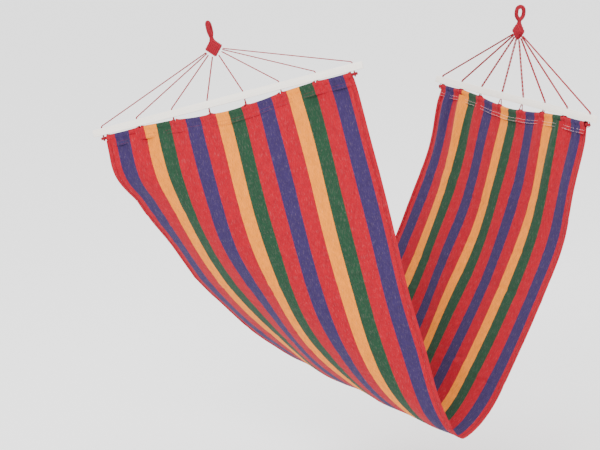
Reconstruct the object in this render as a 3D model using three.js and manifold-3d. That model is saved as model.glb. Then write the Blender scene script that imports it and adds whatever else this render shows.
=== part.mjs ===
// A striped cloth hammock hung by its two eyes: each end has a served rope eye, a flat woven knot,
// a fan of doubled cords, a wooden spreader bar and a corded hem, with the cloth bed hanging between.
// Millimetres, +Z up, +X from the near hook to the far hook, origin where the near hook bears.
import * as THREE from 'three'
import { mergeVertices } from 'three/addons/utils/BufferGeometryUtils.js'
import Module from 'manifold-3d'

const wasm = await Module()
wasm.setup()

const rad = THREE.MathUtils.degToRad
const vec = (x, y, z) => new THREE.Vector3(x, y, z)

// The cloth: its cut size between the hem ropes.
const CLOTH_WIDTH = 775
const CLOTH_LENGTH = 2090
const CLOTH_THICKNESS = 3
const CLOTH_ROWS = 100
const SIDE_HEM_WIDTH = 13.7
const SIDE_HEM_THICKNESS = 4.4

// The hung shape. Cloth barely stretches, so it hangs like paper bent along a fan of slanted lines.
// The lists are read evenly along the fan: how far down the cloth the lines meet its left and right
// edges, and how many degrees the cloth would turn if the whole fan bent alike.
const BEND_COUNT = 60
const LEFT_ENDS = [-130, -60, 30, 920, 1170, 1215, 2020]
const RIGHT_ENDS = [520, 820, 1060, 1085, 1110, 1310, 1850]
const BEND_DEGREES = [81, 74, 271, 145, 692, 42, 250]
const FLAT_END = 50
const FLAT_EASE = 160
const PANEL_TURN = new THREE.Euler(rad(60.1), rad(71.2), rad(-60.9), 'ZYX')

// The spreader bars and their holes.
const BAR_LENGTH = 826
const BAR_DEPTH = 21
const BAR_THICKNESS = 13
const BAR_ROUND = 2
const HOLE_COUNT = 8
const HOLE_SPAN = 770
const HOLE_RADIUS = 3.9

// The cords: doubled, each pair passing through one hole and round the hem rope.
const CORD_DIAMETER = 3.2
const STRAND_OFFSET = 1.9
const CORD_BEND = 7
const ROPE_DIAMETER = 9
const ROPE_OVERHANG = 8
const WRAP_GAP = 0.8

// The hem: how far the rope hangs below the middle of the bar, half the width over which it sags,
// and the depth of the sewn strip.
const HEM_DROP = 38
const HEM_CORNER_DROP = 20
const HEM_SAG_REACH = 275
const HEM_DEPTH = 42
const HEM_WALL = 2.2
const NOTCH_HEIGHT = 30

// The eyes and knots, how far each knot is from its bar, and how it leans out of the cloth's plane.
const NEAR_CLEW_LEAN = rad(-3)
const FAR_CLEW_LEAN = rad(7.5)
const NEAR_CLEW_HEIGHT = 155
const FAR_CLEW_HEIGHT = 205
const EYE_ROPE = 13
const EYE_INNER_WIDTH = 14
const EYE_INNER_LENGTH = 26
const KNOT_RADIUS = 26
const KNOT_THICKNESS = 24
const NECK_GAP = 2

const FIT_GAP = 0.35
const ROLL_GAP = 1.5

const colours = {
  cloth: [0xc5283d, 0.92],
  hem: [0xb82038, 0.92],
  cord: [0xc01f38, 0.85],
  wood: [0xe9e4d8, 0.6],
}

// ---------- shape of the hung cloth ----------

const smooth = x => THREE.MathUtils.smoothstep(x, 0, 1)
const half = CLOTH_WIDTH / 2

// On the flat cloth x runs from the near hem rope to the far one, y to the right, z out of the underside.
function readAlong(list, t) {
  const place = t * (list.length - 1)
  const i = Math.min(Math.floor(place), list.length - 2)
  return THREE.MathUtils.lerp(list[i], list[i + 1], place - i)
}

const bends = Array.from({ length: BEND_COUNT }, (_, i) => {
  const t = (i + 0.5) / BEND_COUNT
  const degrees = Math.exp(readAlong(BEND_DEGREES.map(Math.log), t))
  return { left: readAlong(LEFT_ENDS, t), right: readAlong(RIGHT_ENDS, t), angle: rad(degrees) / BEND_COUNT }
})

// How each facet between two bend lines is turned and moved: every line adds its own bend to the last.
const facets = [new THREE.Matrix4().makeRotationFromEuler(PANEL_TURN)]
for (const { left, right, angle } of bends) {
  const foot = vec(left, -half, 0)
  const line = vec(right, half, 0).sub(foot).normalize()
  const bend = new THREE.Matrix4().makeTranslation(foot)
  bend.multiply(new THREE.Matrix4().makeRotationAxis(line, angle))
  bend.multiply(new THREE.Matrix4().makeTranslation(foot.clone().negate()))
  facets.push(facets.at(-1).clone().multiply(bend))
}

// Where a point of the flat cloth hangs. Next to the straight bars the cloth stays flat.
function clothPoint(s, v) {
  const flat = vec(s, v, 0)
  const passed = bends.filter(({ left, right }) => s > left + (right - left) * (v / CLOTH_WIDTH + 0.5)).length
  const bent = flat.clone().applyMatrix4(facets[passed])
  bent.lerp(flat.clone().applyMatrix4(facets[0]), 1 - smooth((s - FLAT_END) / FLAT_EASE))
  bent.lerp(flat.clone().applyMatrix4(facets.at(-1)), 1 - smooth((CLOTH_LENGTH - FLAT_END - s) / FLAT_EASE))
  return bent
}

// The direction out of the underside, from points a little way round.
function clothNormal(s, v) {
  const reach = 12
  const along = clothPoint(s + reach, v).sub(clothPoint(s - reach, v))
  const across = clothPoint(s, v + reach).sub(clothPoint(s, v - reach))
  return along.cross(across).normalize()
}

// ---------- the two ends ----------

// Each end's frame has its origin at the middle of the bar, x along the bar, y up towards the knot
// in the plane of the cloth, and z out of that plane.
function endFrame(facet, s, intoCloth, lean) {
  const [along, across] = [0, 1].map(k => new THREE.Vector3().setFromMatrixColumn(facet, k))
  const up = along.multiplyScalar(-intoCloth)
  const origin = vec(s, 0, 0).applyMatrix4(facet).addScaledVector(up, HEM_DROP)
  const out = across.clone().cross(up)
  const matrix = new THREE.Matrix4().makeBasis(across, up, out).setPosition(origin)
  const clew = up.clone().multiplyScalar(Math.cos(lean)).addScaledVector(out, Math.sin(lean))
  return { matrix, origin, clew }
}

const eyeLength = EYE_INNER_LENGTH + EYE_ROPE
const seatToKnot = eyeLength + NECK_GAP + KNOT_RADIUS
const ends = {
  near: { ...endFrame(facets[0], 0, 1, NEAR_CLEW_LEAN), height: NEAR_CLEW_HEIGHT },
  far: { ...endFrame(facets.at(-1), CLOTH_LENGTH, -1, FAR_CLEW_LEAN), height: FAR_CLEW_HEIGHT },
}
for (const end of Object.values(ends)) {
  end.knot = end.origin.clone().addScaledVector(end.clew, end.height)
  end.seat = end.knot.clone().addScaledVector(end.clew, seatToKnot)
  end.neck = end.knot.clone().addScaledVector(end.clew, KNOT_RADIUS + NECK_GAP / 2)
}

// ---------- building blocks ----------

// A curve through listed points whose rings fall on those points.
class Route extends THREE.CatmullRomCurve3 {
  getUtoTmapping(u) {
    return u
  }
}

function roundSection(radius, sides) {
  const shape = new THREE.Shape()
  for (let i = 0; i < sides; i++) {
    const turn = 2 * Math.PI * (i + 0.5) / sides
    const x = radius * Math.cos(turn)
    const y = radius * Math.sin(turn)
    if (i === 0) shape.moveTo(x, y)
    else shape.lineTo(x, y)
  }
  shape.closePath()
  return shape
}

function tube(points, radius, sides, closed = false) {
  const path = new Route(points, closed, 'centripetal')
  const steps = closed ? points.length : points.length - 1
  return new THREE.ExtrudeGeometry(roundSection(radius, sides), { steps, extrudePath: path })
}

// A closed solid through rings of matching points, with a flat fan over each end.
function loft(rings) {
  const count = rings[0].length
  const points = rings.flat()
  const index = []
  for (let i = 0; i + 1 < rings.length; i++) {
    for (let j = 0; j < count; j++) {
      const a = i * count + j
      const b = i * count + (j + 1) % count
      index.push(a, b, b + count, a, b + count, a + count)
    }
  }
  const last = (rings.length - 1) * count
  const middles = [rings[0], rings.at(-1)].map(ring => ring.reduce((sum, p) => sum.add(p), vec(0, 0, 0)))
  middles.forEach(middle => points.push(middle.divideScalar(count)))
  for (let j = 0; j < count; j++) {
    const next = (j + 1) % count
    index.push(points.length - 2, next, j)
    index.push(points.length - 1, last + j, last + next)
  }
  const geometry = new THREE.BufferGeometry().setFromPoints(points)
  geometry.setIndex(index)
  return geometry
}

function solidOf(geometry) {
  let plain = geometry.clone()
  plain.deleteAttribute('normal')
  plain.deleteAttribute('uv')
  plain = mergeVertices(plain, 1e-4)
  const vertProperties = new Float32Array(plain.attributes.position.array)
  const triVerts = new Uint32Array(plain.index.array)
  return new wasm.Manifold(new wasm.Mesh({ numProp: 3, vertProperties, triVerts }))
}

function geometryOf(solid) {
  const { vertProperties, triVerts } = solid.getMesh()
  const geometry = new THREE.BufferGeometry()
  geometry.setAttribute('position', new THREE.BufferAttribute(new Float32Array(vertProperties), 3))
  geometry.setIndex(new THREE.BufferAttribute(new Uint32Array(triVerts), 1))
  return geometry
}

function cut(geometry, tools) {
  return geometryOf(tools.reduce((solid, tool) => solid.subtract(solidOf(tool)), solidOf(geometry)))
}

const group = new THREE.Group()
const placed = new THREE.Group()
group.add(placed)
placed.position.copy(ends.near.seat).negate()

function addPart(parent, name, geometry, finish) {
  const [color, roughness] = colours[finish]
  const mesh = new THREE.Mesh(geometry, new THREE.MeshStandardMaterial({ color, roughness, metalness: 0 }))
  mesh.name = name
  parent.add(mesh)
  return mesh
}

// ---------- cloth and side hems ----------

// A strip of the hung cloth between two distances from its centreline.
function clothStrip(low, high, thickness, columns) {
  const start = HEM_DEPTH + ROLL_GAP
  const places = Array.from({ length: columns + 1 }, (_, j) => THREE.MathUtils.lerp(low, high, j / columns))
  const rings = []
  for (let i = 0; i <= CLOTH_ROWS; i++) {
    const s = start + (CLOTH_LENGTH - 2 * start) * i / CLOTH_ROWS
    const side = (v, away) => clothPoint(s, v).addScaledVector(clothNormal(s, v), away * thickness / 2)
    rings.push([...places.map(v => side(v, -1)), ...places.toReversed().map(v => side(v, 1))])
  }
  return loft(rings)
}

const clothHalf = half - SIDE_HEM_WIDTH - FIT_GAP
addPart(placed, 'bed_cloth', clothStrip(-clothHalf, clothHalf, CLOTH_THICKNESS, 14), 'cloth')
addPart(placed, 'left_side_hem', clothStrip(-half, SIDE_HEM_WIDTH - half, SIDE_HEM_THICKNESS, 1), 'hem')
addPart(placed, 'right_side_hem', clothStrip(half - SIDE_HEM_WIDTH, half, SIDE_HEM_THICKNESS, 1), 'hem')

// ---------- spreader bar, hem rope and hem ----------

const holePlaces = Array.from({ length: HOLE_COUNT }, (_, i) => HOLE_SPAN * (i / (HOLE_COUNT - 1) - 0.5))

function roundedBox(length, depth, thickness, round) {
  const shape = new THREE.Shape()
  const x = depth / 2
  const y = thickness / 2
  shape.moveTo(-x + round, -y)
  shape.lineTo(x - round, -y)
  shape.quadraticCurveTo(x, -y, x, -y + round)
  shape.lineTo(x, y - round)
  shape.quadraticCurveTo(x, y, x - round, y)
  shape.lineTo(-x + round, y)
  shape.quadraticCurveTo(-x, y, -x, y - round)
  shape.lineTo(-x, -y + round)
  shape.quadraticCurveTo(-x, -y, -x + round, -y)
  const body = new THREE.ExtrudeGeometry(shape, { depth: length, bevelEnabled: false, curveSegments: 3 })
  body.translate(0, 0, -length / 2)
  return body
}

function spreaderBar() {
  const body = roundedBox(BAR_LENGTH, BAR_DEPTH, BAR_THICKNESS, BAR_ROUND)
  body.rotateZ(Math.PI / 2).rotateY(Math.PI / 2)
  const holes = holePlaces.map(x => {
    const hole = new THREE.CylinderGeometry(HOLE_RADIUS, HOLE_RADIUS, 2 * BAR_DEPTH, 16)
    return hole.translate(x, 0, 0)
  })
  return cut(body, holes)
}

// The rope's distance below the middle of the bar: drawn up to the bar at the two outer holes of each side.
function ropeDrop(x) {
  const outwards = Math.min(Math.abs(x) / HEM_SAG_REACH, 1)
  return HEM_CORNER_DROP + (HEM_DROP - HEM_CORNER_DROP) * (1 + Math.cos(Math.PI * outwards)) / 2
}

function hemRope() {
  const reach = HOLE_SPAN / 2 + ROPE_OVERHANG
  const points = Array.from({ length: 25 }, (_, i) => {
    const x = reach * (i / 12 - 1)
    return vec(x, -ropeDrop(x), 0)
  })
  return tube(points, ROPE_DIAMETER / 2, 8)
}

// The sewn strip: round the rope at its top, flat below, with a notch where each cord enters.
function hem() {
  const channel = ROPE_DIAMETER / 2 + FIT_GAP
  const shell = channel + HEM_WALL
  const bottom = -(HEM_DROP + HEM_DEPTH) + FIT_GAP
  const flat = CLOTH_THICKNESS / 2
  const stations = Array.from({ length: 25 }, (_, i) => half * (i / 12 - 1))
  const rings = stations.map(x => {
    const y = -ropeDrop(x)
    const arc = [210, 170, 130, 90, 50, 10, -30].map(turn => {
      return vec(x, y + shell * Math.sin(rad(turn)), shell * Math.cos(rad(turn)))
    })
    const low = y - shell - 5
    const lower = [[low, flat], [bottom, flat], [bottom, -flat], [low, -flat]]
    return [...arc, ...lower.map(([height, z]) => vec(x, height, z))]
  })
  const reach = half + 5
  const ropeWay = Array.from({ length: 25 }, (_, i) => {
    const x = reach * (i / 12 - 1)
    return vec(x, -ropeDrop(x), 0)
  })
  const notches = holePlaces.map(x => {
    const low = -ropeDrop(x) - ROPE_DIAMETER / 2 - WRAP_GAP - CORD_DIAMETER - 2 * FIT_GAP
    const notch = new THREE.BoxGeometry(CORD_DIAMETER + 2, NOTCH_HEIGHT, 30)
    return notch.translate(x, low + NOTCH_HEIGHT / 2, 0)
  })
  return cut(loft(rings), [tube(ropeWay, channel / Math.cos(Math.PI / 8), 8), ...notches])
}

// ---------- cords, knot and eye ----------

// One doubled cord, in the end's frame: from the knot down through the bar, round the rope and back.
function cordRoute(x, knot) {
  const strand = side => {
    const z = side * STRAND_OFFSET
    const away = vec(x, BAR_DEPTH / 2, 0).sub(knot).normalize()
    const turn = away.angleTo(vec(0, -1, 0))
    const reach = CORD_BEND * Math.tan(turn / 2)
    const corner = vec(x, BAR_DEPTH / 2 + reach, z)
    const towards = corner.clone().sub(knot.clone().add(vec(0, 0, z))).normalize()
    const start = knot.clone().add(vec(0, 0, z)).addScaledVector(towards, KNOT_RADIUS + 1)
    const bendStart = corner.clone().addScaledVector(towards, -reach)
    const mouth = vec(x, BAR_DEPTH / 2, z)
    const bendMiddle = corner.clone().multiplyScalar(0.5)
    bendMiddle.addScaledVector(bendStart, 0.25).addScaledVector(mouth, 0.25)
    const wrap = ROPE_DIAMETER / 2 + WRAP_GAP + CORD_DIAMETER / 2
    const rope = -ropeDrop(x)
    const low = -BAR_DEPTH / 2
    const round = [0, 30, 60].map(angle => {
      return vec(x, rope - wrap * Math.sin(rad(angle)), side * wrap * Math.cos(rad(angle)))
    })
    return [
      start,
      bendStart.clone().addScaledVector(towards, -12),
      bendStart,
      bendMiddle,
      mouth,
      vec(x, low, z),
      vec(x, (2 * low + rope) / 3, side * (2 * STRAND_OFFSET + wrap) / 3),
      vec(x, (low + 2 * rope) / 3, side * (STRAND_OFFSET + 4 * wrap) / 5),
      ...round,
    ]
  }
  const bottom = vec(x, -ropeDrop(x) - ROPE_DIAMETER / 2 - WRAP_GAP - CORD_DIAMETER / 2, 0)
  return [...strand(1), bottom, ...strand(-1).reverse()]
}

// A flat diamond with rounded corners, broad side in the plane of the fan.
function knotBody() {
  const shape = new THREE.Shape()
  const edge = 5
  const tip = KNOT_RADIUS - edge
  const shoulder = tip * 0.55
  shape.moveTo(0, tip)
  shape.quadraticCurveTo(-shoulder, shoulder * 1.1, -tip, 0)
  shape.quadraticCurveTo(-shoulder, -shoulder * 1.1, 0, -tip)
  shape.quadraticCurveTo(shoulder, -shoulder * 1.1, tip, 0)
  shape.quadraticCurveTo(shoulder, shoulder * 1.1, 0, tip)
  const depth = KNOT_THICKNESS - 2 * edge
  const bevel = { bevelEnabled: true, bevelSize: edge * 0.7, bevelThickness: edge, bevelSegments: 2 }
  return new THREE.ExtrudeGeometry(shape, { depth, curveSegments: 4, ...bevel }).translate(0, 0, -depth / 2)
}

// The loop that goes over the hook, its plane square to the knot's.
function eyeLoop() {
  const wide = (EYE_INNER_WIDTH + EYE_ROPE) / 2
  const straight = EYE_INNER_LENGTH + EYE_ROPE - 2 * wide
  const points = []
  for (let i = 0; i < 16; i++) {
    const turn = 2 * Math.PI * (i + 0.5) / 16
    const y = wide * Math.sin(turn) + Math.sign(Math.sin(turn)) * straight / 2
    points.push(vec(0, y, wide * Math.cos(turn)))
  }
  const geometry = tube(points, EYE_ROPE / 2, 10, true)
  return geometry.translate(0, EYE_ROPE / 2 - wide - straight / 2, 0)
}

function placedAt(matrix, origin, upwards) {
  const across = new THREE.Vector3().setFromMatrixColumn(matrix, 0)
  const side = across.addScaledVector(upwards, -across.dot(upwards)).normalize()
  const out = side.clone().cross(upwards)
  return new THREE.Matrix4().makeBasis(side, upwards, out).setPosition(origin)
}

function groupAt(matrix) {
  const holder = new THREE.Group()
  holder.applyMatrix4(matrix)
  placed.add(holder)
  return holder
}

for (const [side, end] of Object.entries(ends)) {
  const holder = groupAt(end.matrix)
  addPart(holder, `${side}_spreader_bar`, spreaderBar(), 'wood')
  addPart(holder, `${side}_hem_rope`, hemRope(), 'cord')
  addPart(holder, `${side}_hem`, hem(), 'hem')
  const knot = end.knot.clone().applyMatrix4(end.matrix.clone().invert())
  holePlaces.forEach((x, i) => {
    addPart(holder, `${side}_cord_${i + 1}`, tube(cordRoute(x, knot), CORD_DIAMETER / 2, 8), 'cord')
  })
  addPart(groupAt(placedAt(end.matrix, end.knot, end.clew)), `${side}_knot`, knotBody(), 'cord')
  addPart(groupAt(placedAt(end.matrix, end.seat, end.clew)), `${side}_eye`, eyeLoop(), 'cord')
}

export default group
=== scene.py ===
"""Looks of a striped cloth hammock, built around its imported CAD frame.

Metres, +Z up, +X from near hook to far hook.
"""
import math
import bmesh
import bpy
import numpy as np
from mathutils import Euler, Matrix, Vector


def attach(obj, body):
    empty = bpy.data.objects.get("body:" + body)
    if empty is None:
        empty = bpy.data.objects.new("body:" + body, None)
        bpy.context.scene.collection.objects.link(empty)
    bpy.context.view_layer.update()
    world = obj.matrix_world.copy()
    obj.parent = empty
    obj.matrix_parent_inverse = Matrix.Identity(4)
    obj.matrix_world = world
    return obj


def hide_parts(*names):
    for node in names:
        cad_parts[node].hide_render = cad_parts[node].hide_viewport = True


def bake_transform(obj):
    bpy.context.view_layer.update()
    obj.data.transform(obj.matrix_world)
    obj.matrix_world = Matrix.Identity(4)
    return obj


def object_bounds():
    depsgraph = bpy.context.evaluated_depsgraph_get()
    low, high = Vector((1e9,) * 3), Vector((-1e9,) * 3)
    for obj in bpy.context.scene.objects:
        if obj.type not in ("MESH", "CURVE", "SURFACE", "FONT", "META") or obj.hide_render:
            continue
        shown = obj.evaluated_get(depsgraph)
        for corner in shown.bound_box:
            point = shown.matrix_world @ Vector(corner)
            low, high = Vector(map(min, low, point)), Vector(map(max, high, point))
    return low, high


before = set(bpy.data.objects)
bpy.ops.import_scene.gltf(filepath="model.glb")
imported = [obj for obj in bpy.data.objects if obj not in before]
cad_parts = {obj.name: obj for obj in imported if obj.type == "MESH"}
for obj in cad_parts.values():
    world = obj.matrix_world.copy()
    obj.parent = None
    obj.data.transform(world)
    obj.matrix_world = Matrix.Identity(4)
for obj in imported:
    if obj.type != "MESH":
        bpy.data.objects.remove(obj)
CAD_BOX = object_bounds()

# ---------- driving dimensions, as in the CAD ----------

CLOTH_WIDTH = 0.775
CLOTH_LENGTH = 2.090
HALF_WIDTH = CLOTH_WIDTH / 2
FOLD_RADIUS = 0.0016
SIDE_HEM_WIDTH = 0.0137

# The cloth hangs like paper bent along a fan of slanted lines, as in the CAD.
BEND_COUNT = 60
LEFT_ENDS = (-0.130, -0.060, 0.030, 0.920, 1.170, 1.215, 2.020)
RIGHT_ENDS = (0.520, 0.820, 1.060, 1.085, 1.110, 1.310, 1.850)
BEND_DEGREES = (81, 74, 271, 145, 692, 42, 250)
FLAT_END = 0.050
FLAT_EASE = 0.160
PANEL_TURN = (60.1, 71.2, -60.9)

BAR_LENGTH = 0.826
BAR_DEPTH = 0.021
BAR_THICKNESS = 0.013
HOLE_COUNT = 8
HOLE_SPAN = 0.770
HOLE_RADIUS = 0.0039

CORD_DIAMETER = 0.0032
STRAND_OFFSET = 0.0019
CORD_BEND = 0.007
ROPE_DIAMETER = 0.009
ROPE_OVERHANG = 0.008
WRAP_GAP = 0.0008

HEM_DROP = 0.038
HEM_CORNER_DROP = 0.020
HEM_SAG_REACH = 0.275

CLEW_LEANS = {"near": math.radians(-3), "far": math.radians(7.5)}
CLEW_HEIGHTS = {"near": 0.155, "far": 0.205}
EYE_ROPE = 0.013
EYE_INNER_WIDTH = 0.014
EYE_INNER_LENGTH = 0.026
KNOT_RADIUS = 0.026
NECK_GAP = 0.002

CLOTH_THICKNESS = 0.0009

rng = np.random.default_rng(7)

# ---------- camera ----------

PHOTO_WIDTH = 600
FOCAL_PIXELS = 2078.9
CAMERA_PLACE = (-1.6464, -5.7001, 0.9098)
CAMERA_HEADING = math.radians(71.35)
CAMERA_PITCH = math.radians(-14.23)
CAMERA_BANK = math.radians(-0.02)


def make_camera():
    data = bpy.data.cameras.new("camera")
    camera = bpy.data.objects.new("camera", data)
    bpy.context.scene.collection.objects.link(camera)
    data.sensor_width = 36
    data.lens = FOCAL_PIXELS * data.sensor_width / PHOTO_WIDTH
    data.clip_end = 60
    ahead = Vector((
        math.cos(CAMERA_PITCH) * math.cos(CAMERA_HEADING),
        math.cos(CAMERA_PITCH) * math.sin(CAMERA_HEADING),
        math.sin(CAMERA_PITCH),
    ))
    turn = ahead.to_track_quat("-Z", "Y").to_matrix().to_4x4()
    camera.matrix_world = Matrix.Translation(CAMERA_PLACE) @ turn @ Matrix.Rotation(CAMERA_BANK, 4, "Z")
    bpy.context.scene.camera = camera


make_camera()

# ---------- shape of the hung cloth ----------


def smooth(x):
    x = np.clip(x, 0, 1)
    return x * x * (3 - 2 * x)


def turned(degrees):
    return np.array(Euler([math.radians(a) for a in degrees], "XYZ").to_matrix())


def bend_fan():
    """The bend lines' left and right ends, and how each facet between them is turned and moved."""
    nodes = np.linspace(0, 1, len(LEFT_ENDS))
    t = (np.arange(BEND_COUNT) + 0.5) / BEND_COUNT
    left = np.interp(t, nodes, LEFT_ENDS)
    right = np.interp(t, nodes, RIGHT_ENDS)
    angles = np.radians(np.exp(np.interp(t, nodes, np.log(BEND_DEGREES)))) / BEND_COUNT
    turns, shifts = [turned(PANEL_TURN)], [np.zeros(3)]
    for low, high, angle in zip(left, right, angles):
        foot = np.array([low, -HALF_WIDTH, 0])
        line = Vector((high - low, CLOTH_WIDTH, 0)).normalized()
        bend = np.array(Matrix.Rotation(angle, 3, line))
        shifts.append(turns[-1] @ (foot - bend @ foot) + shifts[-1])
        turns.append(turns[-1] @ bend)
    return left, right, np.array(turns), np.array(shifts)


LINE_LEFT, LINE_RIGHT, TURNS, SHIFTS = bend_fan()


def hang(s, v):
    """Where points of the flat cloth hang, before the whole is placed. Next to the bars it stays flat."""
    s, v = np.broadcast_arrays(np.asarray(s, float), np.asarray(v, float))
    flat = np.stack([s, v, 0 * s], -1)
    lines = LINE_LEFT + (LINE_RIGHT - LINE_LEFT) * (v[..., None] / CLOTH_WIDTH + 0.5)
    facet = (s[..., None] > lines).sum(-1)
    point = np.einsum("...ij,...j->...i", TURNS[facet], flat) + SHIFTS[facet]
    for k, inwards in ((0, s), (-1, CLOTH_LENGTH - s)):
        ease = smooth((inwards - FLAT_END) / FLAT_EASE)[..., None]
        point = point * ease + (flat @ TURNS[k].T + SHIFTS[k]) * (1 - ease)
    return point


def hang_normal(s, v, reach=0.012):
    """The direction out of the cloth's top side, the side the person lies on."""
    along = hang(s + reach, v) - hang(s - reach, v)
    across = hang(s, v + reach) - hang(s, v - reach)
    normal = np.cross(across, along)
    return normal / np.linalg.norm(normal, axis=-1, keepdims=True)


class End:
    """One end's frame, with its origin at the middle of the bar.

    x runs along the bar, y up to the knot and z out of the cloth.
    """

    def __init__(self, side, facet, s, into):
        along, across = TURNS[facet][:, 0], TURNS[facet][:, 1]
        up = -along * into
        self.side = side
        self.into = into
        self.basis = np.stack([across, up, np.cross(across, up)], 1)
        self.origin = along * s + SHIFTS[facet] + up * HEM_DROP
        lean = CLEW_LEANS[side]
        self.clew = self.basis @ np.array([0, math.cos(lean), math.sin(lean)])
        self.knot = self.origin + self.clew * CLEW_HEIGHTS[side]
        self.seat = self.knot + self.clew * (EYE_INNER_LENGTH + EYE_ROPE + NECK_GAP + KNOT_RADIUS)

    def place(self, shift):
        for name in ("origin", "knot", "seat"):
            setattr(self, name, getattr(self, name) + shift)
        sideways = self.basis[:, 0] - self.clew * self.clew.dot(self.basis[:, 0])
        sideways /= np.linalg.norm(sideways)
        self.clew_basis = np.stack([sideways, self.clew, np.cross(sideways, self.clew)], 1)

    def world(self, local):
        return np.asarray(local) @ self.basis.T + self.origin

    def clew_world(self, local, origin):
        return np.asarray(local) @ self.clew_basis.T + origin


NEAR = End("near", 0, 0.0, 1)
FAR = End("far", -1, CLOTH_LENGTH, -1)
SHIFT = -NEAR.seat
NEAR.place(SHIFT)
FAR.place(SHIFT)
ENDS = (NEAR, FAR)
HOLES = HOLE_SPAN * (np.arange(HOLE_COUNT) / (HOLE_COUNT - 1) - 0.5)


def rope_drop(x):
    outwards = np.minimum(np.abs(x) / HEM_SAG_REACH, 1)
    return HEM_CORNER_DROP + (HEM_DROP - HEM_CORNER_DROP) * (1 + np.cos(np.pi * outwards)) / 2


# ---------- folds, puckers and creases of the cloth ----------

GATHER = 0.33
FOLDS = (
    # place across, drift per metre down, height, width, reach down the cloth
    (0.262, -0.10, 0.0105, 0.013, 0.30),
    (0.305, 0.03, -0.0060, 0.012, 0.20),
    (0.222, -0.22, -0.0045, 0.014, 0.24),
    (0.340, 0.02, 0.0055, 0.010, 0.22),
    (0.372, -0.02, -0.0040, 0.010, 0.16),
    (0.165, -0.05, 0.0030, 0.016, 0.20),
)
SIDE_STRENGTH = {("near", -1): 1.0, ("near", 1): 0.75, ("far", -1): 1.15, ("far", 1): 0.95}


def bell(x):
    return np.exp(-x * x)


def ruffle(v, t):
    """Tight gathers between the two outer cords of each side, dying away below the hem."""
    lift = 0
    for side in (-1, 1):
        across = v - side * GATHER
        window = bell(across / 0.048)
        waves = np.cos(2 * np.pi * across / 0.027 + side) + 0.4 * np.cos(2 * np.pi * across / 0.017)
        lift = lift + 0.0030 * window * waves * bell(t / 0.075)
    return lift


def cord_puckers(v, t):
    lift = 0
    for x in HOLES[2:-2]:
        across = v - x
        lift = lift + 0.0017 * bell(across / 0.026) * np.cos(2 * np.pi * across / 0.024) * np.exp(-t / 0.05)
    return lift


def end_folds(v, t, side):
    lift = 0
    for place, drift, height, width, reach in FOLDS:
        for hand in (-1, 1):
            strength = SIDE_STRENGTH[(side, hand)] * height
            middle = hand * (place + drift * t)
            spread = width * (1 + t / 0.22)
            fade = np.exp(-np.maximum(t, 0) / reach) * smooth(t / 0.02 + 0.6)
            lift = lift + strength * fade * bell((v - middle) / spread)
    return lift


def make_creases(count):
    creases = []
    for _ in range(count):
        creases.append((
            rng.uniform(0.05, CLOTH_LENGTH - 0.05),
            rng.uniform(-0.36, 0.36),
            rng.uniform(0.020, 0.085),
            rng.uniform(-0.16, 0.16),
            rng.choice([-1, 1]) * rng.uniform(0.0006, 0.0016),
            rng.uniform(0.0035, 0.0060),
        ))
    return creases


CREASES = make_creases(120)
PACKING_FOLDS = [(0.262 * (k + 1), 0.0015 * (-1) ** k) for k in range(7)]
SWELLS = [
    (rng.uniform(2, 9), rng.uniform(1, 7), rng.uniform(0, 6.28), rng.uniform(0.0006, 0.0016))
    for _ in range(12)
]


def creases(s, v):
    lift = 0 * s
    for place, middle, half, slant, height, width in CREASES:
        across = v - middle
        line = s - place - slant * across - 0.004 * np.sin(across / 0.03)
        lift = lift + height * bell(line / width) * bell(across / half) ** 2
    for place, height in PACKING_FOLDS:
        wander = 0.002 * np.sin(v / 0.06 + place * 9)
        lift = lift + height * np.exp(-np.abs(s - place - wander) / 0.010)
    lift = lift + 0.0012 * np.exp(-np.abs(v + 0.004 * np.sin(s / 0.2)) / 0.008)
    return lift


def swells(s, v):
    lift = 0 * s
    for kx, ky, phase, height in SWELLS:
        lift = lift + height * np.sin(kx * s * 2 + ky * v * 4 + phase)
    edge = smooth((np.abs(v) / HALF_WIDTH - 0.72) / 0.28)
    for hand, phase in ((-1, 0.4), (1, 2.1)):
        beside = edge * (np.sign(v) == hand)
        lift = lift + 0.0040 * beside * np.sin(s / 0.052 + phase) * np.sin(s / 0.31 + phase)
    return lift


def fall_from_end(s):
    return np.minimum(s, CLOTH_LENGTH - s)


def cloth_lift(s, v):
    """Height of the cloth off its smooth shape."""
    near = smooth((0.5 - s / CLOTH_LENGTH) * 8)
    far = smooth((s / CLOTH_LENGTH - 0.5) * 8)
    t = fall_from_end(s)
    lift = near * end_folds(v, t, "near") + far * end_folds(v, t, "far")
    lift = lift + ruffle(v, t) + cord_puckers(v, t)
    return lift + (creases(s, v) + swells(s, v)) * smooth(t / 0.05)


HEM_PULL_REACH = 0.25


def on_cloth(s, v, lift=0.0):
    """World points of the cloth at distance s from the near rope and v across it, lift above its middle."""
    s, v = np.broadcast_arrays(np.asarray(s, float), np.asarray(v, float))
    t = fall_from_end(s)
    pull = (HEM_DROP - rope_drop(v)) * np.clip(1 - t / HEM_PULL_REACH, 0, 1) ** 1.5
    away = np.where(s < CLOTH_LENGTH / 2, -1, 1)
    narrow = 1 - 0.022 * np.exp(-t / 0.09)
    height = cloth_lift(s, v) + lift
    place = hang(s + away * pull, v * narrow)
    return place + hang_normal(s, v) * height[..., None] + SHIFT


# ---------- mesh helpers ----------


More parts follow.
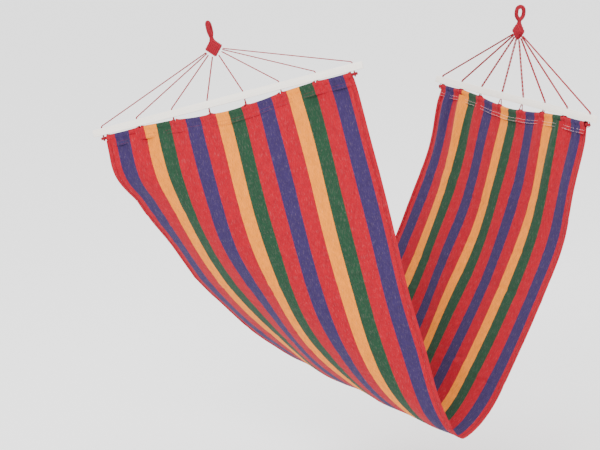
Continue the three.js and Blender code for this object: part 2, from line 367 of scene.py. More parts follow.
def new_object(name, vertices, faces, material, uv=None, shade=True):
    mesh = bpy.data.meshes.new(name)
    mesh.from_pydata([tuple(map(float, p)) for p in vertices], [], [tuple(map(int, f)) for f in faces])
    if uv is not None:
        layer = mesh.uv_layers.new(name="UVMap")
        corner = np.zeros(len(mesh.loops), int)
        mesh.loops.foreach_get("vertex_index", corner)
        layer.data.foreach_set("uv", np.asarray(uv, float)[corner].ravel())
    if shade:
        mesh.polygons.foreach_set("use_smooth", [True] * len(mesh.polygons))
    mesh.materials.append(material)
    obj = bpy.data.objects.new(name, mesh)
    bpy.context.scene.collection.objects.link(obj)
    return obj


def grid_faces(rows, columns, wrap=False):
    faces = []
    span = columns if wrap else columns - 1
    for i in range(rows - 1):
        for j in range(span):
            k = (j + 1) % columns
            faces.append((i * columns + j, i * columns + k, (i + 1) * columns + k, (i + 1) * columns + j))
    return faces


def apply_modifiers(obj):
    graph = bpy.context.evaluated_depsgraph_get()
    mesh = bpy.data.meshes.new_from_object(obj.evaluated_get(graph))
    obj.modifiers.clear()
    obj.data = mesh


def thicken(obj, thickness):
    solid = obj.modifiers.new("thickness", "SOLIDIFY")
    solid.thickness = thickness
    solid.offset = 0
    solid.use_rim = True
    apply_modifiers(obj)


def smooth_route(points, step):
    """A centripetal Catmull-Rom curve through the points, as points about step apart."""
    p = np.asarray(points, float)
    p = np.vstack([2 * p[0] - p[1], p, 2 * p[-1] - p[-2]])
    out = []
    for a, b, c, d in zip(p, p[1:], p[2:], p[3:]):
        knots = np.cumsum(
            [0] + [max(np.linalg.norm(y - x), 1e-9) ** 0.5 for x, y in ((a, b), (b, c), (c, d))]
        )
        count = max(int(round(np.linalg.norm(c - b) / step)), 1)
        t = np.linspace(knots[1], knots[2], count, endpoint=False)[:, None]
        t0, t1, t2, t3 = knots
        a1 = (t1 - t) / (t1 - t0) * a + (t - t0) / (t1 - t0) * b
        a2 = (t2 - t) / (t2 - t1) * b + (t - t1) / (t2 - t1) * c
        a3 = (t3 - t) / (t3 - t2) * c + (t - t2) / (t3 - t2) * d
        b1 = (t2 - t) / (t2 - t0) * a1 + (t - t0) / (t2 - t0) * a2
        b2 = (t3 - t) / (t3 - t1) * a2 + (t - t1) / (t3 - t1) * a3
        out.append((t2 - t) / (t2 - t1) * b1 + (t - t1) / (t2 - t1) * b2)
    return np.vstack(out + [p[-2][None]])


def lengths(points, closed=False):
    path = np.vstack([points, points[:1]]) if closed else points
    return np.concatenate([[0], np.cumsum(np.linalg.norm(np.diff(path, axis=0), axis=1))])


def carried_frames(points, closed=False):
    """Two directions square to the path at each point, carried along without twist."""
    count = len(points)
    if closed:
        tangent = np.roll(points, -1, 0) - np.roll(points, 1, 0)
    else:
        tangent = np.gradient(points, axis=0)
    tangent /= np.linalg.norm(tangent, axis=1, keepdims=True)
    first = np.cross(tangent[0], [0.13, 0.31, 0.94])
    first /= np.linalg.norm(first)
    sides = [first]
    for i in range(1, count):
        side = sides[-1] - tangent[i] * sides[-1].dot(tangent[i])
        sides.append(side / np.linalg.norm(side))
    sides = np.array(sides)
    if closed:
        back = sides[-1] - tangent[0] * sides[-1].dot(tangent[0])
        back /= np.linalg.norm(back)
        gap = math.atan2(np.cross(back, sides[0]).dot(tangent[0]), back.dot(sides[0]))
        turn = gap * np.arange(count)[:, None] / count
        sides = sides * np.cos(turn) + np.cross(tangent, sides) * np.sin(turn)
    return sides, np.cross(tangent, sides)


def rope_mesh(points, radius, sides=8, lobes=0, depth=0.0, pitch=1.0, closed=False):
    """Vertices, faces and UVs of a rope along the points, its lobes twisting once every pitch."""
    side, up = carried_frames(points, closed)
    run = lengths(points)
    radius = np.broadcast_to(radius, len(points))
    turn = 2 * np.pi * np.arange(sides) / sides
    vertices, uv = [], []
    for i, point in enumerate(points):
        twist = 2 * np.pi * run[i] / pitch
        r = radius[i] * (1 - depth + depth * np.cos(lobes * (turn - twist)))
        vertices.append(point + np.outer(r * np.cos(turn), side[i]) + np.outer(r * np.sin(turn), up[i]))
        uv.append(np.stack([turn / (2 * np.pi), np.full(sides, run[i])], 1))
    faces = grid_faces(len(points), sides, wrap=True)
    if closed:
        last = (len(points) - 1) * sides
        for j in range(sides):
            k = (j + 1) % sides
            faces.append((last + j, last + k, k, j))
    else:
        faces.append(tuple(range(sides - 1, -1, -1)))
        faces.append(tuple(range((len(points) - 1) * sides, len(points) * sides)))
    return np.vstack(vertices), faces, np.vstack(uv)


def joined(parts):
    vertices, faces, uvs, start = [], [], [], 0
    for part_vertices, part_faces, part_uv in parts:
        vertices.append(part_vertices)
        faces += [tuple(i + start for i in face) for face in part_faces]
        uvs.append(part_uv)
        start += len(part_vertices)
    return np.vstack(vertices), faces, np.vstack(uvs)


# ---------- materials ----------


def linear(red, green, blue):
    def one(value):
        value /= 255
        return value / 12.92 if value <= 0.04045 else ((value + 0.055) / 1.055) ** 2.4
    return one(red), one(green), one(blue), 1.0


RED = (0.36, 0.0015, 0.013, 1)
BLUE = (0.032, 0.019, 0.080, 1)
YELLOW = (0.80, 0.23, 0.008, 1)
GREEN = (0.012, 0.050, 0.024, 1)
STRIPES = (
    (10.0, RED), (16.2, BLUE), (17.2, RED), (13.5, YELLOW), (14.3, GREEN), (17.2, RED),
    (16.2, BLUE), (17.2, RED), (13.5, YELLOW), (14.3, GREEN), (17.2, RED), (16.2, BLUE),
    (17.2, RED), (13.5, YELLOW), (14.3, GREEN), (17.2, RED), (16.2, BLUE), (10.0, RED),
)


class Nodes:
    """A short way to write a material's node tree."""

    def __init__(self, name):
        self.material = bpy.data.materials.new(name)
        self.material.use_nodes = True
        self.tree = self.material.node_tree
        self.shader = self.tree.nodes["Principled BSDF"]

    def add(self, kind, **settings):
        node = self.tree.nodes.new(kind)
        for key, value in settings.items():
            setattr(node, key, value)
        return node

    def feed(self, socket, value):
        if isinstance(value, bpy.types.NodeSocket):
            self.tree.links.new(value, socket)
        else:
            socket.default_value = value

    def math(self, operation, a, b=0.0, c=0.0):
        node = self.add("ShaderNodeMath", operation=operation)
        for socket, value in zip(node.inputs, (a, b, c)):
            self.feed(socket, value)
        return node.outputs[0]

    def mix(self, factor, a, b, blend="MIX"):
        node = self.add("ShaderNodeMix", data_type="RGBA", blend_type=blend)
        self.feed(node.inputs["Factor"], factor)
        self.feed(node.inputs["A"], a)
        self.feed(node.inputs["B"], b)
        return node.outputs["Result"]

    def noise(self, vector, scale, detail=2.0, rough=0.5):
        node = self.add("ShaderNodeTexNoise")
        self.feed(node.inputs["Vector"], vector)
        self.feed(node.inputs["Scale"], scale)
        self.feed(node.inputs["Detail"], detail)
        self.feed(node.inputs["Roughness"], rough)
        return node.outputs["Fac"]

    def stretch(self, vector, x, y, z=1.0):
        node = self.add("ShaderNodeMapping")
        self.feed(node.inputs["Vector"], vector)
        node.inputs["Scale"].default_value = (x, y, z)
        return node.outputs["Vector"]

    def span(self, value, low, high, to_low=0.0, to_high=1.0):
        node = self.add("ShaderNodeMapRange")
        self.feed(node.inputs["Value"], value)
        for name, number in (("From Min", low), ("From Max", high), ("To Min", to_low), ("To Max", to_high)):
            node.inputs[name].default_value = number
        return node.outputs["Result"]

    def bump(self, height, strength, distance):
        node = self.add("ShaderNodeBump")
        self.feed(node.inputs["Height"], height)
        node.inputs["Strength"].default_value = strength
        node.inputs["Distance"].default_value = distance
        self.feed(self.shader.inputs["Normal"], node.outputs["Normal"])

    def base(self, color, roughness, sheen=0.0):
        self.feed(self.shader.inputs["Base Color"], color)
        self.feed(self.shader.inputs["Roughness"], roughness)
        self.shader.inputs["Specular IOR Level"].default_value = 0.12
        self.shader.inputs["Sheen Weight"].default_value = sheen
        self.shader.inputs["Sheen Roughness"].default_value = 0.5
        return self.material


THREAD = 0.0011


def weave(n, uv_metres):
    """Heights of a plain weave, threads along and across the cloth, from coordinates in metres."""
    parts = n.add("ShaderNodeSeparateXYZ")
    n.feed(parts.inputs[0], uv_metres)
    across = n.math("MULTIPLY", parts.outputs["X"], math.pi / THREAD)
    along = n.math("MULTIPLY", parts.outputs["Y"], math.pi / THREAD)
    warp = n.math("ABSOLUTE", n.math("SINE", across))
    weft = n.math("ABSOLUTE", n.math("SINE", along))
    over = n.math("MULTIPLY", n.math("SINE", across), n.math("SINE", along))
    return n.math("ADD", n.math("MULTIPLY", warp, 0.6), n.math("MULTIPLY_ADD", over, 0.35, weft))


def cloth_colour(n, metres, colour):
    """Heathered yarn over a plain colour: slubs along the cloth, weft flecks across it, and pale lint."""
    slub = n.noise(n.stretch(metres, 800, 70), 1.0, 3, 0.7)
    weft = n.noise(n.stretch(metres, 120, 900), 1.0, 2, 0.6)
    lint = n.noise(n.stretch(metres, 520, 60), 1.0, 3, 0.7)
    cloudy = n.noise(n.stretch(metres, 60, 30), 1.0, 3)
    dark = n.mix(n.span(slub, 0.42, 0.70, 0.0, 0.40), colour, (0.012, 0.006, 0.010, 1))
    pale = n.mix(n.span(weft, 0.58, 0.80, 0.0, 0.10), dark, (0.50, 0.34, 0.30, 1))
    pale = n.mix(n.span(lint, 0.56, 0.76, 0.0, 0.22), pale, (0.48, 0.34, 0.32, 1))
    return n.mix(n.span(cloudy, 0.30, 0.68, 0.16, 0.0), pale, (0.01, 0.005, 0.01, 1))


def metre_coordinates(n):
    return n.add("ShaderNodeUVMap", uv_map="UVMap").outputs["UV"]


def striped_cloth():
    n = Nodes("striped_cloth")
    metres = metre_coordinates(n)
    parts = n.add("ShaderNodeSeparateXYZ")
    n.feed(parts.inputs[0], metres)
    wobble = n.span(n.noise(n.stretch(metres, 200, 500), 1.0), 0.3, 0.7, -0.0006, 0.0006)
    place = n.math("ADD", n.math("DIVIDE", n.math("ADD", parts.outputs["X"], wobble), CLOTH_WIDTH), 0.5)
    ramp = n.add("ShaderNodeValToRGB")
    ramp.color_ramp.interpolation = "CONSTANT"
    n.feed(ramp.inputs["Fac"], place)
    total = sum(width for width, _ in STRIPES)
    edge = 0.0
    for i, (width, colour) in enumerate(STRIPES):
        stop = ramp.color_ramp.elements[0] if i == 0 else ramp.color_ramp.elements.new(edge / total)
        stop.position = edge / total
        stop.color = colour
        edge += width
    ramp.color_ramp.elements.remove(ramp.color_ramp.elements[-1])
    n.bump(weave(n, metres), 0.35, 0.0004)
    return n.base(cloth_colour(n, metres, ramp.outputs["Color"]), 0.95, 0.03)


def plain_cloth(name, colour):
    n = Nodes(name)
    metres = metre_coordinates(n)
    n.bump(weave(n, metres), 0.35, 0.0004)
    return n.base(cloth_colour(n, metres, colour), 0.95, 0.03)


def yarn(name, colour, pitch):
    """Twisted yarn: fine fibres slanting round a cord, from its UVs, a turn round and metres along, with
    painted shade in the grooves between the strands.
    """
    n = Nodes(name)
    uv = metre_coordinates(n)
    parts = n.add("ShaderNodeSeparateXYZ")
    n.feed(parts.inputs[0], uv)
    turn = n.math(
        "MULTIPLY_ADD",
        parts.outputs["X"],
        6 * math.pi,
        n.math("MULTIPLY", parts.outputs["Y"], 2 * math.pi / pitch),
    )
    strand = n.math("ABSOLUTE", n.math("SINE", turn))
    place = n.add("ShaderNodeNewGeometry").outputs["Position"]
    fuzz = n.noise(place, 2400, 3, 0.7)
    patch = n.noise(place, 90, 2)
    # Painted shade: the colour is darkened in the grooves between the strands, where the bump height dips.
    tone = n.mix(n.span(strand, 0.0, 0.6, 0.75, 0.0), colour, tuple(0.15 * c for c in colour[:3]) + (1,))
    tone = n.mix(n.span(fuzz, 0.45, 0.75, 0.0, 0.10), tone, (0.85, 0.35, 0.36, 1))
    tone = n.mix(n.span(patch, 0.35, 0.7, 0.0, 0.18), tone, (0.30, 0.01, 0.03, 1))
    n.bump(n.math("ADD", strand, n.math("MULTIPLY", fuzz, 0.5)), 0.5, 0.0005)
    return n.base(tone, 0.90, 0.04)


def white_wood():
    n = Nodes("white_wood")
    place = n.add("ShaderNodeTexCoord").outputs["UV"]
    grain = n.noise(n.stretch(place, 18, 700), 1.0, 5, 0.65)
    broad = n.noise(n.stretch(place, 4, 90), 1.0, 3)
    scuff = n.noise(n.stretch(place, 60, 220), 1.0, 6, 0.75)
    tone = n.mix(n.span(grain, 0.35, 0.70, 0.0, 0.55), linear(243, 239, 231), linear(222, 212, 196))
    tone = n.mix(n.span(broad, 0.40, 0.68, 0.0, 0.40), tone, linear(232, 222, 212))
    tone = n.mix(n.span(scuff, 0.66, 0.78, 0.0, 0.45), tone, linear(196, 178, 156))
    n.bump(n.math("ADD", grain, n.math("MULTIPLY", scuff, 0.4)), 0.25, 0.0006)
    return n.base(tone, n.span(grain, 0.3, 0.7, 0.50, 0.72))


def thread(name, colour):
    n = Nodes(name)
    fuzz = n.noise(n.add("ShaderNodeNewGeometry").outputs["Position"], 3000, 2)
    tone = n.mix(n.span(fuzz, 0.35, 0.7, 0.0, 0.35), colour, tuple(0.45 * c for c in colour[:3]) + (1,))
    return n.base(tone, 0.8, 0.2)


CLOTH = striped_cloth()
HEM_CLOTH = plain_cloth("hem_cloth", RED)
CORD = yarn("cord", (0.28, 0.0015, 0.010, 1), 0.012)
ROPE = yarn("rope", (0.24, 0.0015, 0.010, 1), 0.016)
SERVING = yarn("serving", (0.30, 0.002, 0.014, 1), 0.006)
WOOD = white_wood()
PALE_THREAD = thread("pale_thread", linear(232, 196, 196))
DARK_THREAD = thread("dark_thread", linear(120, 20, 44))

# ---------- cords, first because their room is checked against the camera ----------


def cord_route(x, knot):
    """One doubled cord in its end's frame: from the knot through the bar, round the hem rope and back."""
    rope = -rope_drop(x)
    wrap = ROPE_DIAMETER / 2 + WRAP_GAP + CORD_DIAMETER / 2
    low = -BAR_DEPTH / 2

    def strand(side):
        z = side * STRAND_OFFSET
        shift = np.array([0, 0, z])
        away = np.array([x, BAR_DEPTH / 2, 0]) - knot
        turn = math.acos(-away[1] / np.linalg.norm(away))
        reach = CORD_BEND * math.tan(turn / 2)
        corner = np.array([x, BAR_DEPTH / 2 + reach, z])
        towards = corner - knot - shift
        towards /= np.linalg.norm(towards)
        bend_start = corner - towards * reach
        mouth = np.array([x, BAR_DEPTH / 2, z])
        points = [
            knot + shift + towards * (KNOT_RADIUS + 0.001),
            bend_start - towards * 0.012,
            bend_start,
            corner / 2 + bend_start / 4 + mouth / 4,
            mouth,
            np.array([x, low, z]),
            np.array([x, (2 * low + rope) / 3, side * (2 * STRAND_OFFSET + wrap) / 3]),
            np.array([x, (low + 2 * rope) / 3, side * (STRAND_OFFSET + 4 * wrap) / 5]),
        ]
        for angle in np.radians([0, 30, 60]):
            points.append(np.array([x, rope - wrap * math.sin(angle), side * wrap * math.cos(angle)]))
        return points

    return strand(1) + [np.array([x, rope - wrap, 0])] + strand(-1)[::-1]


def make_cords(end):
    knot = (end.knot - end.origin) @ end.basis
    for number, x in enumerate(HOLES, 1):
        path = smooth_route(end.world(np.array(cord_route(x, knot))), 0.002)
        vertices, faces, uv = rope_mesh(path, CORD_DIAMETER / 2, 8, lobes=2, depth=0.13, pitch=0.024)
        name = f"{end.side}_cord_{number}"
        cord = new_object(f"{name}_twisted", vertices, faces, CORD, uv)
        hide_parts(name)
        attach(cord, f"{end.side}_clew")


for end in ENDS:
    make_cords(end)

# ---------- cloth ----------

ROW_STEP = 0.004
COLUMN_STEP = 0.006


def cloth_half(end, low, high):
    rows = np.linspace(low, high, int((high - low) / ROW_STEP) + 1)
    inner = HALF_WIDTH - SIDE_HEM_WIDTH + 0.002
    columns = np.linspace(-inner, inner, int(2 * inner / COLUMN_STEP) + 1)
    s, v = np.meshgrid(rows, columns, indexing="ij")
    points = on_cloth(s, v).reshape(-1, 3)
    uv = np.stack([v.ravel(), s.ravel()], 1)
    faces = grid_faces(len(rows), len(columns))
    sheet = new_object(f"{end.side}_half_of_bed", points, faces, CLOTH, uv)
    thicken(sheet, CLOTH_THICKNESS)
    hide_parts("bed_cloth")
    return sheet


TOP = 0.008


def follow(piece):
    """Bakes the piece's placement into its mesh."""
    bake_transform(piece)


def side_hem(end, hand, low, high):
    """The folded edge: a flat band of doubled cloth, rounded at its outer fold."""
    rows = np.linspace(low, high, int((high - low) / ROW_STEP) + 1)
    inner = HALF_WIDTH - SIDE_HEM_WIDTH
    section = [(inner, 0.0013)]
    section += [(HALF_WIDTH - 0.004, 0.0015)]
    section += [
        (HALF_WIDTH - FOLD_RADIUS + FOLD_RADIUS * math.cos(a), FOLD_RADIUS * math.sin(a))
        for a in np.radians([60, 30, 0, -30, -60])
    ]
    section += [(HALF_WIDTH - 0.004, -0.0015), (inner, -0.0013)]
    section = np.array(section)
    s, _ = np.meshgrid(rows, section[:, 0], indexing="ij")
    v = np.broadcast_to(hand * section[:, 0], s.shape)
    lift = np.broadcast_to(section[:, 1], s.shape)
    points = on_cloth(s, v, lift)
    faces = grid_faces(len(rows), len(section), wrap=True)
    if hand < 0:
        faces = [face[::-1] for face in faces]
    count = len(section)
    faces.append(tuple(range(count)) if hand > 0 else tuple(range(count - 1, -1, -1)))
    last = (len(rows) - 1) * count
    faces.append(
        tuple(range(last + count - 1, last - 1, -1)) if hand > 0 else tuple(range(last, last + count))
    )
    uv = np.stack([v.ravel() + lift.ravel(), s.ravel()], 1)
    word = "right" if hand > 0 else "left"
    name = f"{end.side}_{word}_folded_edge"
    hem = new_object(name, points.reshape(-1, 3), faces, HEM_CLOTH, uv)
    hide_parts(f"{word}_side_hem")
    return hem


STITCH_LENGTH = 0.0036
STITCH_STEP = 0.0052
STITCH_RADIUS = 0.00045


def stitch_mesh(starts, finishes, outward):
    """Small pointed threads from each start to each finish, standing on the side that outward faces."""
    vertices, faces = [], []
    for a, b, up in zip(starts, finishes, outward):
        along = b - a
        side = np.cross(along, up)
        side /= np.linalg.norm(side)
        base = len(vertices)
        middle = (a + b) / 2 + up * STITCH_RADIUS * 0.6
        ring = [side, up, -side, -up]
        vertices += [a - up * STITCH_RADIUS]
        for place, size in ((0.25, 0.85), (0.75, 0.85)):
            centre_point = a + along * place + (middle - (a + b) / 2)
            vertices += [centre_point + r * STITCH_RADIUS * size for r in ring]
        vertices += [b - up * STITCH_RADIUS]
        for j in range(4):
            k = (j + 1) % 4
            faces.append((base, base + 1 + k, base + 1 + j))
            faces.append((base + 1 + j, base + 1 + k, base + 5 + k, base + 5 + j))
            faces.append((base + 9, base + 5 + j, base + 5 + k))
    return np.array(vertices), faces


def side_stitches(end, hand, low, high):
    places = np.arange(low + 0.03, high, STITCH_STEP)
    v = hand * (HALF_WIDTH - SIDE_HEM_WIDTH + 0.0022)
    vertices, faces = [], []
    for face in (-1, 1):
        lift = face * (0.0014 + STITCH_RADIUS * 0.4)
        starts = on_cloth(places, v, lift)
        finishes = on_cloth(places + STITCH_LENGTH, v, lift)
        outward = on_cloth(places, v, lift + face * 0.001) - starts
        outward /= np.linalg.norm(outward, axis=1, keepdims=True)
        more, more_faces = stitch_mesh(starts, finishes, outward)
        faces += [tuple(i + sum(map(len, vertices)) for i in f) for f in more_faces]
        vertices.append(more)
    word = "right" if hand > 0 else "left"
    return new_object(
        f"{end.side}_{word}_edge_stitches", np.vstack(vertices), faces, DARK_THREAD, shade=False,
    )


def make_cloth(end, low, high):
    sheet = cloth_half(end, low, high)
    edges = []
    for hand in (-1, 1):
        hem = side_hem(end, hand, low, high)
        stitches = side_stitches(end, hand, low, high)
        edges += [hem, stitches]
    for piece in [sheet, *edges]:
        follow(piece)


MIDDLE = CLOTH_LENGTH / 2
make_cloth(NEAR, TOP, MIDDLE)
make_cloth(FAR, MIDDLE, CLOTH_LENGTH - TOP)

# ---------- hem sleeve, its stitches and the rope inside ----------

SLEEVE_DEPTH = 0.032
STITCH_ROWS = (0.0195, 0.0285)
CORD_BULGE = 0.0034


def sleeve_columns():
    columns = set(np.round(np.linspace(-HALF_WIDTH, HALF_WIDTH, 151), 5))
    for x in HOLES:
        columns = {c for c in columns if abs(c - x) > 0.006}
        columns |= {round(x + d, 5) for d in (-0.006, -0.0042, -0.0026, 0.0, 0.0026, 0.0042, 0.006)}
    return np.array(sorted(c for c in columns if abs(c) <= HALF_WIDTH))


def sleeve_point(end, v, turn, below):
    """A point of the sleeve: turn goes round the rope from the front, below is the flat part's depth."""
    drop = rope_drop(v) + 0.0016 * np.abs(np.sin(np.pi * (v / HOLE_SPAN * 7 + 0.5))) - 0.0016
    near_cord = sum(bell((v - x) / 0.0075) for x in HOLES)
    radius = ROPE_DIAMETER / 2 + 0.0012 + CORD_BULGE * near_cord
    flat = 0.00135
    face = np.sign(np.cos(turn)) if np.ndim(turn) else math.copysign(1, math.cos(turn))
    y = radius * np.sin(turn)
    z = radius * np.cos(turn)
    eased = smooth(below / 0.013)
    z = z * (1 - eased) + face * flat * eased
    y = y - drop - below
    t = np.maximum(-y - HEM_CORNER_DROP, 0)
    z = z + end_sign(end) * (ruffle(v, t * 0.5) + cord_puckers(v, t + 0.03)) * smooth(below / 0.02 + 0.35)
    narrow = 1 - 0.022 * np.exp(-np.maximum(below, 0) / 0.09)
    x = v * narrow
    return end.world(np.stack([x, y, z], -1))


def end_sign(end):
    """Whether the end frame's z and the cloth's normal point the same way."""
    return -end.into


def hem_sleeve(end):
    columns = sleeve_columns()
    flat_steps = np.linspace(SLEEVE_DEPTH, 0.0, 12)
    profile = [(0.0, below) for below in flat_steps]
    profile += [(turn, 0.0) for turn in np.radians(np.arange(15, 180, 15))]
    profile += [(math.pi, below) for below in flat_steps[::-1]]
    points, uv = [], []
    for turn, below in profile:
        points.append(sleeve_point(end, columns, turn, below))
        run = below if below > 0 else -ROPE_DIAMETER / 2 * math.sin(turn)
        s = run if end.into > 0 else CLOTH_LENGTH - run
        uv.append(np.stack([columns, np.full_like(columns, s)], 1))
    count = len(columns)
    faces = []
    for i in range(len(profile) - 1):
        turn = math.degrees(profile[i][0] + profile[i + 1][0]) / 2
        flat = profile[i][1] > 0 or profile[i + 1][1] > 0
        for j in range(count - 1):
            middle = (columns[j] + columns[j + 1]) / 2
            slit = min(abs(middle - x) for x in HOLES) < 0.0026 and 20 < turn < 160 and not flat
            if not slit:
                faces.append((i * count + j, i * count + j + 1, (i + 1) * count + j + 1, (i + 1) * count + j))
    sleeve = new_object(f"{end.side}_hem_sleeve", np.vstack(points), faces, CLOTH, np.vstack(uv))
    thicken(sleeve, CLOTH_THICKNESS)
    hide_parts(f"{end.side}_hem")
    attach(sleeve, f"{end.side}_clew")
    return sleeve


def hem_stitches(end, turn, material, word):
    places = np.arange(-HALF_WIDTH + 0.006, HALF_WIDTH - 0.008, STITCH_STEP)
    face = math.copysign(1, math.cos(turn))
    vertices, faces = [], []
    for below in STITCH_ROWS:
        lift = np.array([0, 0, face * (CLOTH_THICKNESS / 2 + STITCH_RADIUS * 0.4)]) @ end.basis.T
        starts = sleeve_point(end, places, turn, below) + lift
        finishes = sleeve_point(end, places + STITCH_LENGTH, turn, below) + lift
        outward = np.broadcast_to(np.array([0, 0, face]) @ end.basis.T, starts.shape)
        more, more_faces = stitch_mesh(starts, finishes, outward)
        faces += [tuple(i + sum(map(len, vertices)) for i in f) for f in more_faces]
        vertices.append(more)
    stitches = new_object(
        f"{end.side}_hem_{word}_stitches", np.vstack(vertices), faces, material, shade=False,
    )
    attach(stitches, f"{end.side}_clew")


def hem_rope(end):
    reach = HOLE_SPAN / 2 + ROPE_OVERHANG
    x = np.linspace(-reach, reach, 300)
    points = end.world(np.stack([x, -rope_drop(x), 0 * x], 1))
    vertices, faces, uv = rope_mesh(points, ROPE_DIAMETER / 2, 12, lobes=3, depth=0.10, pitch=0.036)
    rope = new_object(f"{end.side}_twisted_hem_rope", vertices, faces, ROPE, uv)
    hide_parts(f"{end.side}_hem_rope")
    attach(rope, f"{end.side}_clew")


# ---------- spreader bar ----------


def box_uv(obj):
    """UVs in metres, along the bar and round it."""
    mesh = obj.data
    layer = mesh.uv_layers.new(name="UVMap") if not mesh.uv_layers else mesh.uv_layers[0]
    for polygon in mesh.polygons:
        flat = abs(polygon.normal.y) > abs(polygon.normal.z)
        for loop in polygon.loop_indices:
            p = mesh.vertices[mesh.loops[loop].vertex_index].co
            layer.data[loop].uv = (p.x, (p.z + 0.05) if flat else p.y)


def spreader_bar(end):
    mesh = bpy.data.meshes.new(f"{end.side}_whitewashed_bar")
    bar = bpy.data.objects.new(mesh.name, mesh)
    bpy.context.scene.collection.objects.link(bar)
    build = bmesh.new()
    bmesh.ops.create_cube(build, size=1)
    bmesh.ops.scale(build, vec=(BAR_LENGTH, BAR_DEPTH, BAR_THICKNESS), verts=build.verts)
    cuts = np.linspace(-BAR_LENGTH / 2, BAR_LENGTH / 2, 42)[1:-1]
    for x in cuts:
        if min(abs(x - h) for h in HOLES) > HOLE_RADIUS + 0.002:
            geometry = build.verts[:] + build.edges[:] + build.faces[:]
            bmesh.ops.bisect_plane(build, geom=geometry, plane_co=(x, 0, 0), plane_no=(1, 0, 0))
    build.to_mesh(mesh)
    build.free()
    cutter_mesh = bpy.data.meshes.new("cutter")
    cutter_build = bmesh.new()
    for x in HOLES:
        turned = Matrix.Translation((x, 0, 0)) @ Matrix.Rotation(math.pi / 2, 4, "X")
        bmesh.ops.create_cone(
            cutter_build, cap_ends=True, segments=24, radius1=HOLE_RADIUS, radius2=HOLE_RADIUS,
            depth=BAR_DEPTH * 1.6, matrix=turned,
        )
    cutter_build.to_mesh(cutter_mesh)
    cutter_build.free()
    cutter = bpy.data.objects.new("cutter", cutter_mesh)
    bpy.context.scene.collection.objects.link(cutter)
    holes = bar.modifiers.new("holes", "BOOLEAN")
    holes.operation = "DIFFERENCE"
    holes.object = cutter
    holes.solver = "EXACT"
    bevel = bar.modifiers.new("bevel", "BEVEL")
    bevel.width = 0.0016
    bevel.segments = 3
    bevel.limit_method = "ANGLE"
    bevel.angle_limit = math.radians(40)
    bevel.harden_normals = False
    apply_modifiers(bar)
    bpy.data.objects.remove(cutter)
    box_uv(bar)
    bar.data.polygons.foreach_set("use_smooth", [True] * len(bar.data.polygons))
    bar.data.set_sharp_from_angle(angle=math.radians(35))
    bar.data.materials.clear()
    bar.data.materials.append(WOOD)
    matrix = Matrix(np.vstack([np.hstack([end.basis, end.origin[:, None]]), [0, 0, 0, 1]]).tolist())
    bar.data.transform(matrix)
    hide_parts(f"{end.side}_spreader_bar")
    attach(bar, f"{end.side}_clew")


# ---------- knot, eye and neck ----------

KNOT_STRANDS = 7
KNOT_CORD = 0.0043
KNOT_PITCH = 0.0050


def knot_bulge(a, b):
    half = KNOT_STRANDS * KNOT_PITCH / 2
    edge = np.maximum(np.abs(a), np.abs(b)) / half
    return 0.0030 + 0.0062 * np.sqrt(np.clip(1 - edge ** 2.2, 0, 1))


def woven_knot(end):
    """A flat diamond woven from two crossing sets of cords, each a band round the knot's front and back."""
    half = KNOT_STRANDS * KNOT_PITCH / 2
    offsets = (np.arange(KNOT_STRANDS) - (KNOT_STRANDS - 1) / 2) * KNOT_PITCH
    parts = []
    for family in (0, 1):
        for number, offset in enumerate(offsets):
            points = []
            for phase in np.linspace(0, 2 * np.pi, 72, endpoint=False):
                run = half * 1.02 * math.copysign(abs(math.cos(phase)) ** 0.75, math.cos(phase))
                front = math.copysign(abs(math.sin(phase)) ** 0.55, math.sin(phase))
                crossing = run / KNOT_PITCH + (KNOT_STRANDS - 1) / 2 + number + family
                over = 0.0013 * math.cos(math.pi * crossing) * math.sin(phase)
                height = knot_bulge(run, offset) * front + over
                pair = (run, offset) if family == 0 else (offset, run)
                x = (pair[0] - pair[1]) / math.sqrt(2)
                y = (pair[0] + pair[1]) / math.sqrt(2)
                points.append((x, y * 1.06, height))
            world = end.clew_world(points, end.knot)
            parts.append(rope_mesh(world, KNOT_CORD / 2, 8, lobes=2, depth=0.08, pitch=0.012, closed=True))
    vertices, faces, uv = joined(parts)
    knot = new_object(f"{end.side}_woven_knot", vertices, faces, SERVING, uv)
    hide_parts(f"{end.side}_knot")
    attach(knot, "bed")


def eye_line(end, count):
    """The eye's centreline: a long ring, drawn in to a point at the neck."""
    wide = (EYE_INNER_WIDTH + EYE_ROPE) / 2
    straight = EYE_INNER_LENGTH + EYE_ROPE - 2 * wide
    points = []
    for turn in 2 * np.pi * np.arange(count) / count + np.pi / 2:
        y = (
            wide * math.sin(turn)
            + math.copysign(1, math.sin(turn)) * straight / 2 * min(1, abs(math.sin(turn)) * 4)
        )
        pinch = 1 - 0.38 * smooth((-y - 0.002) / (wide + straight / 2))
        points.append((0, y + EYE_ROPE / 2 - wide - straight / 2, wide * math.cos(turn) * float(pinch)))
    return end.clew_world(points, end.seat)


def served_eye(end):
    line = eye_line(end, 96)
    core = rope_mesh(line, EYE_ROPE / 2 - 0.0017, 12, closed=True)
    wrap = 0.0021
    run = lengths(line, closed=True)
    turns = int(run[-1] / (wrap * 0.98))
    samples = turns * 14
    side, up = carried_frames(line, closed=True)
    ring = np.vstack([line, line[:1]])
    places = np.linspace(0, run[-1], samples, endpoint=False)

    def spread(values):
        loop = np.vstack([values, values[:1]])
        return np.stack([np.interp(places, run, loop[:, k]) for k in range(3)], 1)

    angle = 2 * np.pi * np.arange(samples) / 14
    radius = EYE_ROPE / 2 - wrap / 2
    points = np.stack([np.interp(places, run, ring[:, k]) for k in range(3)], 1)
    points = points + radius * (spread(side) * np.cos(angle)[:, None] + spread(up) * np.sin(angle)[:, None])
    coil = rope_mesh(points, wrap / 2, 6, closed=True)
    vertices, faces, uv = joined([core, coil])
    eye = new_object(f"{end.side}_served_eye", vertices, faces, SERVING, uv)
    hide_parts(f"{end.side}_eye")
    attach(eye, "hooks_end")


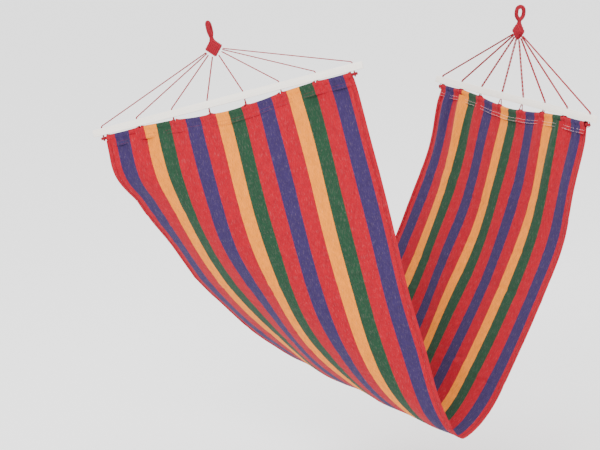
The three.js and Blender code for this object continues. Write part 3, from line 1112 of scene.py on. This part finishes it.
def neck(end):
    """The wrapped neck between the eye and the knot."""
    top = -(EYE_INNER_LENGTH + EYE_ROPE) + 0.0045
    bottom = -(EYE_INNER_LENGTH + EYE_ROPE + NECK_GAP) - 0.009
    heights = np.linspace(top, bottom, 20)
    wide = 0.0052 + 0.0030 * smooth((heights - top) / (bottom - top)) ** 2
    line = end.clew_world([(0, y, 0) for y in heights], end.seat)
    core = rope_mesh(line, wide, 14)
    turns = 7
    samples = turns * 16
    place = np.linspace(0, 1, samples)
    y = top + (bottom - top) * place
    angle = 2 * np.pi * turns * place
    r = np.interp(y, heights[::-1], wide[::-1])
    coil_points = end.clew_world(np.stack([r * np.cos(angle), y, r * np.sin(angle)], 1), end.seat)
    coil = rope_mesh(coil_points, 0.0012, 6)
    vertices, faces, uv = joined([core, coil])
    piece = new_object(f"{end.side}_wrapped_neck", vertices, faces, SERVING, uv)
    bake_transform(piece)


for end in ENDS:
    hem_sleeve(end)
    hem_stitches(end, 0.0, DARK_THREAD if end.into > 0 else PALE_THREAD, "front")
    hem_stitches(end, math.pi, PALE_THREAD if end.into > 0 else DARK_THREAD, "back")
    hem_rope(end)
    spreader_bar(end)
    woven_knot(end)
    served_eye(end)
    neck(end)

# ---------- studio ----------


def studio():
    floor_height = CAD_BOX[0].z - 0.30
    bpy.ops.mesh.primitive_plane_add(size=40, location=(0.5, 0, floor_height))
    floor = bpy.context.object
    floor.name = "floor"
    n = Nodes("floor")
    floor.data.materials.append(n.base((0.95, 0.95, 0.95, 1), 0.9))
    world = bpy.data.worlds.new("studio")
    bpy.context.scene.world = world
    world.use_nodes = True
    world.node_tree.nodes["Background"].inputs["Color"].default_value = (1, 1, 1, 1)
    world.node_tree.nodes["Background"].inputs["Strength"].default_value = 2.2
    for name, place, size, power in (
        ("key", (-1.8, -3.0, 2.6), 1.6, 150),
        ("fill", (3.2, -2.4, 1.6), 2.5, 30),
        ("top", (0.6, 0.4, 2.6), 2.4, 50),
    ):
        light = bpy.data.lights.new(name, "AREA")
        light.energy = power
        light.size = size
        lamp = bpy.data.objects.new(name, light)
        bpy.context.scene.collection.objects.link(lamp)
        lamp.location = place
        aim = Vector((0.55, 0, -0.5)) - Vector(place)
        lamp.rotation_euler = aim.to_track_quat("-Z", "Y").to_euler()


studio()
